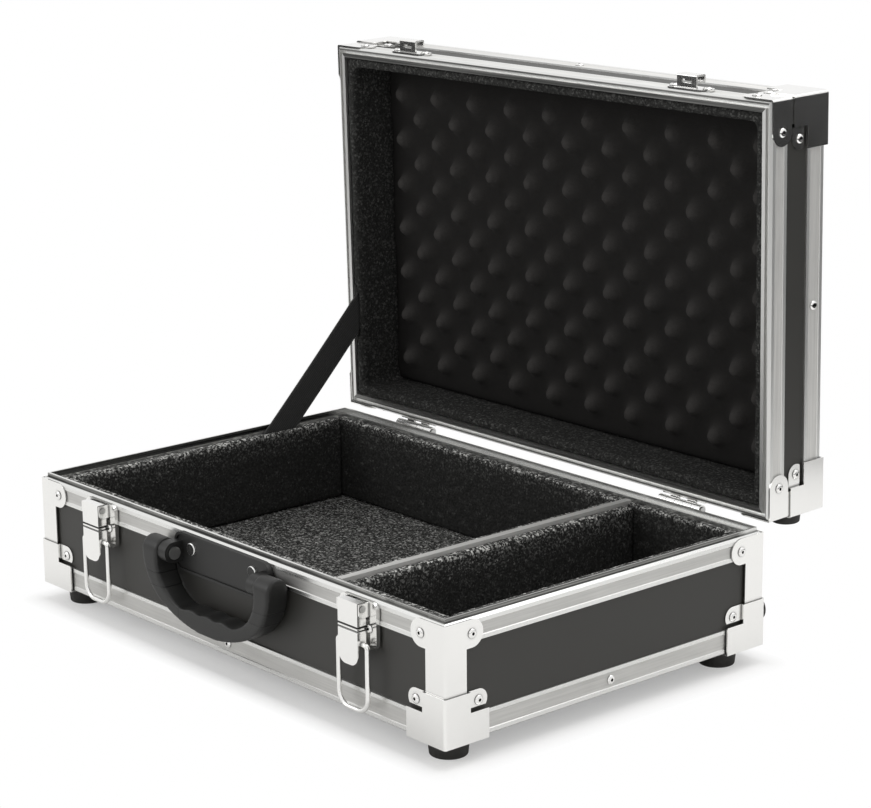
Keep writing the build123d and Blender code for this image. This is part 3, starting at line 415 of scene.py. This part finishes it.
def laminate_finish():
    """Smooth black laminate with a faint cloudiness and fine grain."""
    look = Finish("black_laminate")
    cloud = look.noise(0.09, detail=3)
    grain = look.noise(0.0009, detail=2)
    tint = colours().laminate
    look.colour(look.mixed(cloud, tint, scaled(tint, 1.35)))
    look.roughness(colours().laminate_gloss + 0.10 * cloud + 0.05 * grain)
    look.raised(grain, 0.00002, 0.6)
    return look.material


def aluminium_finish(name, grain_axis, on_lid, bands, mating_shade=None):
    """Extruded aluminium: bright ribs, a brushed band, and painted shade on the faces where
    the rims meet.
    """
    look = Finish(name, metallic=1.0)
    y, z = look.axes()[1:]
    height = depth_in_lid(y, z) if on_lid else z
    band = height.inside(*bands, 0.0006)
    stretch = [1.0, 1.0, 1.0]
    stretch[grain_axis] = drag
    lines = look.noise(0.00045, detail=3, stretch=stretch)
    blotch = look.noise(0.012, detail=4, stretch=[0.35 + 0.65 * v for v in stretch])
    streak = look.noise(0.0016, detail=2, stretch=stretch)
    shade = (0.55 * lines + 0.45 * streak + 0.35 * (blotch - 0.5)).clipped()
    tint = colours().band
    # Painted light: the lid's profiles take a brighter copy of the same aluminium
    gain = 1.25 if on_lid else 1.0
    brushed = look.mixed(shade, scaled(tint, 0.70 * gain), scaled(tint, 1.28 * gain))
    rib = look.mixed(lines, scaled(colours().rib, 0.90), colours().rib)
    bright = look.mixed(band, rib, brushed)
    # Painted shade on the faces where the rims meet; on the back rim only faces that look up
    # take it
    if mating_shade:
        painted_mating_shade = height.inside(*mating_shade, 0.0002)
        if not on_lid:
            behind = y.above(back_rim_start, 0.01)
            painted_mating_shade = painted_mating_shade * (1 - behind * (1 - look.facing()[2]))
        tint = colours().mating_shade
        dark = look.mixed(streak.above(0.5, 0.3), scaled(tint, 0.6), scaled(tint, 1.6))
        bright = look.mixed(painted_mating_shade, bright, dark)
    look.colour(bright)
    look.roughness((0.36 if on_lid else 0.24) + 0.18 * band + 0.08 * lines)
    look.raised(lines, 0.00003, 0.35)
    return look.material


def sheet_finish(name="plated_sheet", roughness=0.13, shade=1.3):
    """Bright plated sheet with faint smears, fine scratches and painted shade in its crevices.
    """
    look = Finish(name, metallic=1.0)
    smear = look.noise(0.03, detail=4)
    scratch = look.noise(0.0005, detail=1, stretch=(0.06, 1, 1))
    bright = look.mixed(smear, scaled(colours().sheet, 0.95), colours().sheet)
    # Painted shade: the sheet darkens near corners and round heads
    dark = (shade * look.painted_crevice_shade(sheet_shade_reach)).clipped()
    look.colour(look.mixed(dark, bright, colours().crevice_shade))
    look.roughness(roughness + 0.06 * smear + 0.04 * scratch)
    look.raised(smear, 0.00005, 0.25)
    return look.material


def lever_finish():
    """The plated sheet of the levers, with a double crease across each, painted dark as shade,
    and painted shade in the corners.
    """
    look = Finish("lever_sheet", metallic=1.0)
    z = look.axes()[2]
    smear = look.noise(0.03, detail=4)
    low = sizes().crease_height
    step = sizes().crease_step
    crease = z.inside(low - lower_crease, low + lower_crease, seam_softness)
    high = low + step
    crease = crease + z.inside(high - upper_crease, high + upper_crease, seam_softness)
    # Painted shade: the creases and the corners darken
    dark = (crease + 1.3 * look.painted_crevice_shade(sheet_shade_reach)).clipped()
    bright = look.mixed(smear, scaled(colours().sheet, 0.95), colours().sheet)
    look.colour(look.mixed(dark, bright, colours().crevice_shade))
    look.roughness(0.13 + 0.08 * smear + 0.3 * crease)
    look.raised(1 - crease, 0.0006, 0.8)
    return look.material


def steel_finish():
    """Satin plated steel of the pins and screws, with painted shade in the recesses."""
    look = Finish("satin_steel", metallic=1.0)
    cloud = look.noise(0.004, detail=3)
    tint = colours().steel
    plain = look.mixed(cloud, scaled(tint, 0.8), tint)
    # Painted shade in the recesses
    dark = (1.4 * look.painted_crevice_shade(steel_shade_reach)).clipped()
    look.colour(look.mixed(dark, plain, colours().crevice_shade))
    look.roughness(0.26 + 0.14 * cloud)
    return look.material


def screw_finish():
    """Pan heads of the handle screws: a top painted dark as the shade of its driven recess, in
    a rounded edge painted brighter as a highlight.
    """
    look = Finish("screw_head_painted_light", metallic=1.0)
    # Painted shade and highlight: the face that looks out is painted dark, the rounded edge
    # brighter than the steel
    front = (-1 * look.facing()[1]).above(0.93, 0.06)
    cloud = look.noise(0.002, detail=2)
    tint = colours().steel
    look.colour(look.mixed(front, scaled(tint, 1.3), scaled(tint, 0.07)))
    look.roughness(0.2 + 0.2 * cloud)
    return look.material


def foam_finish(name, dark, light, plain=0.0, painted_wall_light=None):
    """Foam with dark pores and light flecks: fewer if plain, and on the walls fewer and fewer
    still lower down, as painted shade.
    """
    look = Finish(name, roughness=1.0)
    look.shader.inputs["Specular IOR Level"].default_value = 0.08
    cell = sizes().foam_cell
    pores = look.cells(cell * 1.4)
    cloud = look.noise(cell * 1.5, detail=3)
    patch = look.noise(cell * 14, detail=2)
    fleck = look.scattered(cell).power(5.5)
    dust = look.scattered(cell * 0.62).power(9.0)
    amount = 1.15 * fleck + 0.8 * dust
    # Painted shade: walls keep only a share of their flecks, less of it lower down; faces that
    # look up keep them all
    if painted_wall_light:
        z = look.axes()[2]
        up = look.facing()[2].above(0.35, 0.7)
        fewer = painted_wall_light * (0.15 + 0.85 * z.above(*foam_shade_fade))
        amount = amount * (up + (1 - up) * fewer).clipped()
    amount = (amount * (1.0 - plain) * (0.75 + 0.5 * patch)).clipped()
    base = look.mixed(cloud.above(0.5, 0.4), dark, scaled(dark, 1.9))
    look.colour(look.mixed(amount, base, light))
    look.raised(cloud + 0.6 * (1 - pores), 0.0010, 0.8)
    return look.material


def crate_finish():
    """Fine dark foam, painted lighter on the crests of its bumps and darker in its hollows, as
    light and shade.
    """
    look = Finish("crate_foam", roughness=1.0)
    look.shader.inputs["Specular IOR Level"].default_value = 0.08
    y, z = look.axes()[1:]
    # Painted light and shade: crests take a lighter copy of the foam's tone, hollows a darker
    # one
    painted_crest_light = 1 - depth_in_lid(y, z).above(crate_middle, crate_swing)
    cloud = look.noise(0.0016, detail=3)
    tint = colours().crate
    painted_lit_crate = look.mixed(cloud, scaled(tint, 1.5), scaled(tint, 2.3))
    look.colour(look.mixed(painted_crest_light, scaled(tint, 0.42), painted_lit_crate))
    look.raised(cloud, 0.0006, 0.6)
    return look.material


def channel_finish():
    """Milky anodised aluminium of the divider's channel, its drag lines along it."""
    look = Finish("anodised_channel", metallic=0.35)
    lines = look.noise(0.0005, detail=3, stretch=(1, drag, 1))
    tint = colours().band
    look.colour(look.mixed(lines, scaled(tint, 0.75), scaled(tint, 1.2)))
    look.roughness(0.45 + 0.15 * lines)
    look.raised(lines, 0.00003, 0.35)
    return look.material


def rubber_finish():
    """Matt black rubber with a dusty bloom."""
    look = Finish("foot_rubber")
    look.shader.inputs["Specular IOR Level"].default_value = 0.35
    cloud = look.noise(0.006, detail=4)
    tint = colours().rubber
    look.colour(look.mixed(cloud, tint, scaled(tint, 1.9)))
    look.roughness(0.55 + 0.25 * cloud)
    look.raised(look.noise(0.0007, detail=2), 0.00008, 0.6)
    return look.material


def moulded_finish(name, seams=False):
    """Satin black moulding with a fine spark-eroded grain, and seams on the grip."""
    look = Finish(name)
    look.shader.inputs["Specular IOR Level"].default_value = 0.38
    cloud = look.noise(0.02, detail=3)
    grain = look.noise(0.0006, detail=2)
    tint = colours().moulded
    dark = look.mixed(cloud, tint, scaled(tint, 1.5))
    look.roughness(0.36 + 0.10 * cloud + 0.06 * grain)
    if not seams:
        look.colour(dark)
        look.raised(grain, 0.00005, 0.5)
        return look.material
    x, z = look.axes()[::2]
    half = sizes().grip_seam_width / 2
    seam_x = sizes().grip_seam_x
    on_bar = 1 - z.above(grip_bar_top, 0.0006)
    seam = x.inside(seam_x - half, seam_x + half, seam_softness) * on_bar
    on_arms = x.size().above(grip_arm_start, 0.001)
    for height in grip_arm_seams:
        seam = seam + on_arms * z.inside(height - half, height + half, seam_softness)
    seam = seam.clipped()
    look.colour(look.mixed(seam, dark, (0.003, 0.003, 0.003)))
    look.raised(0.05 * grain + 1 - seam, 0.0005, 0.7)
    return look.material


def webbing_finish():
    """Woven tape: ribs across the strap, a fine twill along it and plain edges."""
    look = Finish("woven_tape", roughness=0.85)
    look.shader.inputs["Sheen Weight"].default_value = 0.15
    look.shader.inputs["Specular IOR Level"].default_value = 0.2
    u, v = look.across()
    run = strap_run().length + 2 * sizes().strap_end
    ribs = (v * (2 * pi * run / sizes().strap_rib) + u * 22).sine() * 0.5 + 0.5
    threads = (u * (2 * pi * 24)).sine() * 0.5 + 0.5
    edge = 1 - u.inside(0.07, 0.93, 0.03)
    weave = ribs * 0.65 + threads * 0.35 + edge * 0.3
    tint = colours().webbing
    look.colour(look.mixed(weave.clipped(), scaled(tint, 0.55), scaled(tint, 2.0)))
    look.raised(weave, 0.0003, 0.8)
    return look.material


# Making pieces
def only(piece):
    """Make one piece the active and only selected one."""
    if bpy.context.object and bpy.context.object.mode != "OBJECT":
        bpy.ops.object.mode_set(mode="OBJECT")
    bpy.ops.object.select_all(action="DESELECT")
    bpy.context.view_layer.objects.active = piece
    piece.select_set(True)


def dress(names, material):
    """Give CAD nodes a finish in place of their plain one."""
    for name in names:
        mesh = nodes[name].data
        if not mesh.materials:
            mesh.materials.append(material)
        for index in range(len(mesh.materials)):
            mesh.materials[index] = material


def in_slot(slot):
    """The nodes that take this slot of the record."""
    return [row["node"] for row in record["subparts"] if row["material_slot"] == slot]


def body_with(node):
    """The body that a node rides on."""
    return next(b for b, names in record["behaviour"]["bodies"].items() if node in names)


def copied(node, name):
    """A new piece with a CAD node's shape, its loose triangles joined."""
    piece = bpy.data.objects.new(name, nodes[node].data.copy())
    bpy.context.scene.collection.objects.link(piece)
    piece.data.materials.clear()
    only(piece)
    bpy.ops.object.mode_set(mode="EDIT")
    bpy.ops.mesh.select_all(action="SELECT")
    bpy.ops.mesh.remove_doubles(threshold=1e-6)
    bpy.ops.object.mode_set(mode="OBJECT")
    return piece


def applied(piece, kind, **settings):
    """Add a modifier and apply it."""
    only(piece)
    modifier = piece.modifiers.new(kind.lower(), kind)
    for key, value in settings.items():
        setattr(modifier, key, value)
    bpy.ops.object.modifier_apply(modifier=modifier.name)


def softened(piece, voxel, rounds):
    """Remake a piece on a fine grid and round its edges."""
    applied(piece, "REMESH", mode="VOXEL", voxel_size=voxel)
    applied(piece, "SMOOTH", factor=0.5, iterations=rounds)
    for polygon in piece.data.polygons:
        polygon.use_smooth = True


def rippled(piece, depth, size):
    """Let a foam skin rise and fall a little."""
    cloud = bpy.data.textures.new(piece.name + "_ripple", "CLOUDS")
    cloud.noise_scale = size
    applied(piece, "DISPLACE", texture=cloud, strength=depth, mid_level=0.6)


def carry(piece, node):
    """Let a piece stand for a CAD node, on the same body."""
    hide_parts(node)
    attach(piece, body_with(node))


def foam_piece(node, material, smoothing):
    """A soft foam piece in the place of its plain CAD block."""
    piece = copied(node, node + "_soft")
    softened(piece, sizes().foam_voxel, smoothing)
    rippled(piece, sizes().foam_ripple, 0.006)
    piece.data.materials.append(material)
    carry(piece, node)


def strap_ends():
    """Where the strap is riveted in the base and in the open lid, on the left wall."""
    side = (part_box("lid_strap")[0][0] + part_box("lid_strap")[1][0]) / 2
    from_hinge = -0.1129
    depth = 0.0281
    base = Vector((side, hinge_y + from_hinge, hinge_z - depth))
    lid = Vector(
        (
            side,
            hinge_y + from_hinge * cos(lid_angle) + depth * sin(lid_angle),
            hinge_z - from_hinge * sin(lid_angle) + depth * cos(lid_angle),
        )
    )
    return base, lid


def strap_run():
    base, lid = strap_ends()
    return lid - base


# Operators, one for each piece or group of like pieces
class CASE_OT_panels(bpy.types.Operator):
    """Finish the panels of both halves"""

    bl_idname = "case.panels"
    bl_label = "Panels"

    def execute(self, context):
        dress(in_slot("laminate"), laminate_finish())
        return {"FINISHED"}


class CASE_OT_profiles(bpy.types.Operator):
    """Finish the rims and edgings, with drag lines along each bar"""

    bl_idname = "case.profiles"
    bl_label = "Aluminium profiles"

    def execute(self, context):
        for half, rim, edging, mating_shade in (
            ("base", base_rim_band, base_edging_band, base_mating_shade),
            ("lid", lid_rim_band, lid_edging_band, lid_mating_shade),
        ):
            on_lid = half == "lid"
            across = 2 if on_lid else 1
            for length_name, axis, faces in (
                ("long", 0, ("front", "back")),
                ("short", across, ("left", "right")),
            ):
                rims = [f"{half}_{face}_rim" for face in faces]
                label = f"{half}_{length_name}"
                painted_mating_shade = None if label == "lid_short" else mating_shade
                metal = aluminium_finish(label + "_rim_metal", axis, on_lid, rim, painted_mating_shade)
                dress(rims, metal)
                metal = aluminium_finish(label + "_edging_metal", axis, on_lid, edging)
                dress([f"{half}_{length_name}_edgings"], metal)
        return {"FINISHED"}


class CASE_OT_sheet(bpy.types.Operator):
    """Finish the corner covers, box corners, hinges and latch plates"""

    bl_idname = "case.sheet"
    bl_label = "Plated sheet"

    def execute(self, context):
        levers = ("left_lever", "right_lever")
        dress([n for n in in_slot("chrome_sheet") if n not in levers], sheet_finish())
        dress(levers, lever_finish())
        return {"FINISHED"}


class CASE_OT_fasteners(bpy.types.Operator):
    """Finish the rivets, screws and pins"""

    bl_idname = "case.fasteners"
    bl_label = "Rivets, screws and pins"

    def execute(self, context):
        # Rivets: plated sheet with stronger painted shade round their heads
        dress(in_slot("rivet_steel"), sheet_finish("rivet_plating", roughness=0.08, shade=1.7))
        dress(in_slot("zinc_steel"), steel_finish())
        dress(["handle_screws"], screw_finish())
        return {"FINISHED"}


class CASE_OT_feet(bpy.types.Operator):
    """Finish the rubber feet"""

    bl_idname = "case.feet"
    bl_label = "Feet"

    def execute(self, context):
        dress(in_slot("rubber"), rubber_finish())
        return {"FINISHED"}


class CASE_OT_foam(bpy.types.Operator):
    """Make the foam linings of the base and the border in the lid"""

    bl_idname = "case.foam"
    bl_label = "Foam linings"

    def execute(self, context):
        dark, light = colours().foam, colours().foam_fleck
        # Painted light and shade: each wall keeps its own share of flecks, least on the back
        # wall and most on the divider
        lining = foam_finish("flecked_foam", dark, light, painted_wall_light=0.20)
        back_wall_painted_shade = foam_finish("back_foam_painted_shade", dark, light, painted_wall_light=0.11)
        bright = foam_finish("divider_foam", dark, light, painted_wall_light=0.36)
        floor = foam_finish("floor_foam", dark, light, plain=0.45)
        border = foam_finish("border_foam", dark, light, plain=0.92)
        foam_piece("base_foam_floor", floor, sizes().foam_smoothing)
        foam_piece("base_foam_back", back_wall_painted_shade, sizes().foam_smoothing)
        for face in ("front", "left", "right"):
            foam_piece(f"base_foam_{face}", lining, sizes().foam_smoothing)
        foam_piece("divider_foam", bright, sizes().foam_smoothing)
        foam_piece("lid_foam_border", border, sizes().foam_smoothing)
        return {"FINISHED"}


class CASE_OT_eggcrate(bpy.types.Operator):
    """Make the lid's egg-crate foam with its soft staggered bumps"""

    bl_idname = "case.eggcrate"
    bl_label = "Egg-crate foam"

    def execute(self, context):
        foam_piece("lid_eggcrate_foam", crate_finish(), sizes().crate_smoothing)
        return {"FINISHED"}


class CASE_OT_divider(bpy.types.Operator):
    """Finish the divider's board and the channel on its top edge"""

    bl_idname = "case.divider"
    bl_label = "Divider"

    def execute(self, context):
        dress(["divider_board"], laminate_finish())
        dress(["divider_channel"], channel_finish())
        return {"FINISHED"}


class CASE_OT_strap(bpy.types.Operator):
    """Make the woven strap that holds the lid open"""

    bl_idname = "case.strap"
    bl_label = "Lid strap"

    def execute(self, context):
        size = sizes()
        base, lid = strap_ends()
        run = lid - base
        flat = run.length + 2 * size.strap_end
        bpy.ops.object.select_all(action="DESELECT")
        bpy.ops.mesh.primitive_grid_add(x_subdivisions=8, y_subdivisions=72, size=1)
        strap = bpy.context.object
        strap.name = "woven_strap"
        along = run.normalized()
        outward = Vector((1, 0, 0))
        across = along.cross(outward)
        for vertex in strap.data.vertices:
            u, v = vertex.co.x, vertex.co.y
            middle = 1 - (2 * v) ** 2
            curl = 1 - (2 * u) ** 2
            place = (base + lid) / 2 + along * (v * flat) + across * (u * size.strap_width)
            lift = size.strap_bow * middle ** 2 * (0.5 + 0.25 * curl)
            vertex.co = place + outward * lift
        only(strap)
        applied(strap, "SOLIDIFY", thickness=size.strap_thickness, offset=0.0)
        applied(strap, "BEVEL", width=0.0003, segments=2, limit_method="ANGLE")
        for polygon in strap.data.polygons:
            polygon.use_smooth = True
        strap.data.materials.append(webbing_finish())
        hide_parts("lid_strap")
        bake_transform(strap)
        return {"FINISHED"}


class CASE_OT_handle(bpy.types.Operator):
    """Finish the handle plate and make the rounded, moulded grip"""

    bl_idname = "case.handle"
    bl_label = "Handle"

    def execute(self, context):
        dress(["handle_plate"], moulded_finish("plate_moulding"))
        grip = copied("handle_grip", "moulded_grip")
        softened(grip, sizes().grip_voxel, sizes().grip_smoothing)
        grip.data.materials.append(moulded_finish("grip_moulding", seams=True))
        carry(grip, "handle_grip")
        return {"FINISHED"}


class CASE_OT_stage(bpy.types.Operator):
    """Set up the floor, the lights, the world and the camera"""

    bl_idname = "case.stage"
    bl_label = "Stage"

    def execute(self, context):
        scene = context.scene
        scene.view_settings.view_transform = "Standard"
        self.floor()
        self.world(scene)
        self.lamps(scene)
        self.camera(scene)
        return {"FINISHED"}

    def floor(self):
        bpy.ops.object.select_all(action="DESELECT")
        bpy.ops.mesh.primitive_plane_add(size=1)
        floor = bpy.context.object
        floor.name = "floor"
        floor.data.transform(Matrix.Diagonal((floor_width, floor_width, 1, 1)))
        floor.data.transform(Matrix.Translation((0, 0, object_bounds()[0][2])))
        floor.data.materials.append(self.table())
        floor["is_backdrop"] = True

    def table(self):
        """A white table: its shadow fades near the case, and metal sees its dark far edge."""
        look = Finish("pale_table")
        x, y = look.axes()[:2]
        past_x = (x.size() - table_under[0]).positive()
        past_y = (y.size() - table_under[1]).positive()
        past = (past_x * past_x + past_y * past_y).power(0.5)
        fade = table_fade[1] - table_fade[0]
        past = ((past - table_fade[0]) / fade).clipped().power(0.6)
        tree = look.tree
        path = look.add("ShaderNodeLightPath")
        by_camera = Reading(look, path.outputs["Is Camera Ray"])
        by_metal = Reading(look, path.outputs["Is Glossy Ray"])
        bearing = table_edge_bearing[0] * x + table_edge_bearing[1] * y
        far = bearing.above(sum(table_edge) / 2, table_edge[1] - table_edge[0])
        reach = (x * x + y * y).power(0.5)
        beyond = reach.above(sum(table_reach) / 2, table_reach[1] - table_reach[0])
        matt = look.add("ShaderNodeBsdfDiffuse")
        matt.inputs["Color"].default_value = (0.93, 0.93, 0.925, 1)
        white = look.add("ShaderNodeEmission")
        dark = look.add("ShaderNodeEmission")
        dark.inputs["Color"].default_value = (0.006, 0.006, 0.006, 1)
        near = look.add("ShaderNodeMixShader")
        look.feed(near.inputs[0], past * by_camera)
        tree.links.new(matt.outputs[0], near.inputs[1])
        tree.links.new(white.outputs[0], near.inputs[2])
        whole = look.add("ShaderNodeMixShader")
        look.feed(whole.inputs[0], (far + beyond).clipped() * by_metal)
        tree.links.new(near.outputs[0], whole.inputs[1])
        tree.links.new(dark.outputs[0], whole.inputs[2])
        output = next(n for n in tree.nodes if n.type == "OUTPUT_MATERIAL")
        tree.links.new(whole.outputs[0], output.inputs[0])
        tree.nodes.remove(look.shader)
        return look.material

    def world(self, scene):
        world = scene.world or bpy.data.worlds.new("studio")
        scene.world = world
        world.use_nodes = True
        tree = world.node_tree
        tree.nodes.clear()
        output = tree.nodes.new("ShaderNodeOutputWorld")
        mix = tree.nodes.new("ShaderNodeMixShader")
        soft = tree.nodes.new("ShaderNodeBackground")
        soft.inputs["Color"].default_value = (1, 0.995, 0.985, 1)
        soft.inputs["Strength"].default_value = studio_light
        white = tree.nodes.new("ShaderNodeBackground")
        white.inputs["Color"].default_value = (1, 1, 1, 1)
        path = tree.nodes.new("ShaderNodeLightPath")
        seen = tree.nodes.new("ShaderNodeMath")
        seen.operation = "ADD"
        seen.use_clamp = True
        glossy = tree.nodes.new("ShaderNodeMath")
        glossy.operation = "MULTIPLY"
        glossy.inputs[1].default_value = studio_shine
        links = tree.links
        links.new(path.outputs["Is Glossy Ray"], glossy.inputs[0])
        links.new(path.outputs["Is Camera Ray"], seen.inputs[0])
        links.new(glossy.outputs[0], seen.inputs[1])
        links.new(seen.outputs[0], mix.inputs[0])
        links.new(soft.outputs[0], mix.inputs[1])
        links.new(white.outputs[0], mix.inputs[2])
        links.new(mix.outputs[0], output.inputs[0])

    def lamps(self, scene):
        for name, place, target, energy, size in softboxes:
            lamp = bpy.data.lights.new(name, "AREA")
            lamp.energy = energy
            lamp.size = size
            holder = bpy.data.objects.new(name, lamp)
            scene.collection.objects.link(holder)
            holder.location = place
            aim = Vector(target) - Vector(place)
            holder.rotation_euler = aim.to_track_quat("-Z", "Y").to_euler()

    def camera(self, scene):
        right = Vector((cos(camera_yaw), sin(camera_yaw), 0))
        ahead = Vector(
            (
                -sin(camera_yaw) * cos(camera_pitch),
                cos(camera_yaw) * cos(camera_pitch),
                -sin(camera_pitch),
            )
        )
        up = right.cross(ahead)
        leaning_right = right * cos(camera_roll) + up * sin(camera_roll)
        leaning_up = up * cos(camera_roll) - right * sin(camera_roll)
        lens = bpy.data.cameras.new("camera")
        lens.lens = camera_lens
        lens.sensor_width = camera_sensor
        lens.sensor_fit = "HORIZONTAL"
        lens.shift_x, lens.shift_y = camera_shift
        lens.clip_end = 50
        holder = bpy.data.objects.new("camera", lens)
        scene.collection.objects.link(holder)
        turned = Matrix((leaning_right, leaning_up, -ahead)).transposed()
        holder.matrix_world = Matrix.Translation(camera_place) @ turned.to_4x4()
        scene.camera = holder


steps = (
    CASE_OT_panels,
    CASE_OT_profiles,
    CASE_OT_sheet,
    CASE_OT_fasteners,
    CASE_OT_feet,
    CASE_OT_foam,
    CASE_OT_eggcrate,
    CASE_OT_divider,
    CASE_OT_strap,
    CASE_OT_handle,
    CASE_OT_stage,
)


class CASE_PT_sidebar(bpy.types.Panel):
    """The case's sizes, colours and steps"""

    bl_idname = "CASE_PT_sidebar"
    bl_label = "Carrying case"
    bl_space_type = "VIEW_3D"
    bl_region_type = "UI"
    bl_category = "Case"

    def draw(self, context):
        for group in (context.scene.case_sizes, context.scene.case_colours):
            box = self.layout.box()
            for key in group.__annotations__:
                box.prop(group, key)
        for step in steps:
            self.layout.operator(step.bl_idname)


classes = (CaseSizes, CaseColours, *steps, CASE_PT_sidebar)


def register():
    for item in classes:
        bpy.utils.register_class(item)
    bpy.types.Scene.case_sizes = PointerProperty(type=CaseSizes)
    bpy.types.Scene.case_colours = PointerProperty(type=CaseColours)


def unregister():
    del bpy.types.Scene.case_colours
    del bpy.types.Scene.case_sizes
    for item in reversed(classes):
        bpy.utils.unregister_class(item)


def main():
    register()
    bpy.ops.case.panels()
    bpy.ops.case.profiles()
    bpy.ops.case.sheet()
    bpy.ops.case.fasteners()
    bpy.ops.case.feet()
    bpy.ops.case.foam()
    bpy.ops.case.eggcrate()
    bpy.ops.case.divider()
    bpy.ops.case.strap()
    bpy.ops.case.handle()
    bpy.ops.case.stage()


if __name__ == "__main__":
    main()
